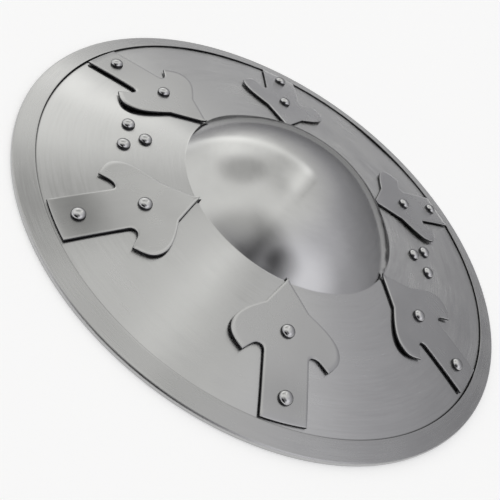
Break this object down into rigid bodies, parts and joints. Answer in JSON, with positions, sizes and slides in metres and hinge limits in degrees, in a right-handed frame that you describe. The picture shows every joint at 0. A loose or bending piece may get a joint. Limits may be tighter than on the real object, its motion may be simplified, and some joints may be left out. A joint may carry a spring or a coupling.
{
  "type": "buckler shield",
  "caption": "Round steel buckler with a domed boss, a folded rim band, riveted fleur-shaped straps and a hand grip behind the boss.",
  "frame": {"origin": "centre of the circle that the rim rests on, under the middle of the boss", "axes": "+Z along the boss axis, away from the hand and up as the shield lies; X along the handle"},
  "size_m": [0.356, 0.356, 0.0523],
  "materials": {
    "body_steel": "bare steel sheet, brushed in rings about the boss",
    "rim_steel": "bare steel, brushed along the rim",
    "strap_steel": "bare steel plate, satin, edges polished bright",
    "rivet_steel": "polished steel rivet heads",
    "handle_steel": "forged bar, ground and lightly brushed"
  },
  "bodies": {
    "root": {"shield_body": "body_steel", "rim_band": "rim_steel", "strap_1": "strap_steel", "strap_1_outer_rivet": "rivet_steel", "strap_1_inner_rivet": "rivet_steel", "strap_2": "strap_steel", "strap_2_outer_rivet": "rivet_steel", "strap_2_inner_rivet": "rivet_steel", "strap_3": "strap_steel", "strap_3_outer_rivet": "rivet_steel", "strap_3_inner_rivet": "rivet_steel", "strap_4": "strap_steel", "strap_4_outer_rivet": "rivet_steel", "strap_4_inner_rivet": "rivet_steel", "strap_5": "strap_steel", "strap_5_outer_rivet": "rivet_steel", "strap_5_inner_rivet": "rivet_steel", "strap_6": "strap_steel", "strap_6_outer_rivet": "rivet_steel", "strap_6_inner_rivet": "rivet_steel", "handle": "handle_steel", "handle_left_rivet_1": "rivet_steel", "handle_left_rivet_2": "rivet_steel", "handle_left_rivet_3": "rivet_steel", "handle_right_rivet_1": "rivet_steel", "handle_right_rivet_2": "rivet_steel", "handle_right_rivet_3": "rivet_steel"}
  },
  "joints": []
}
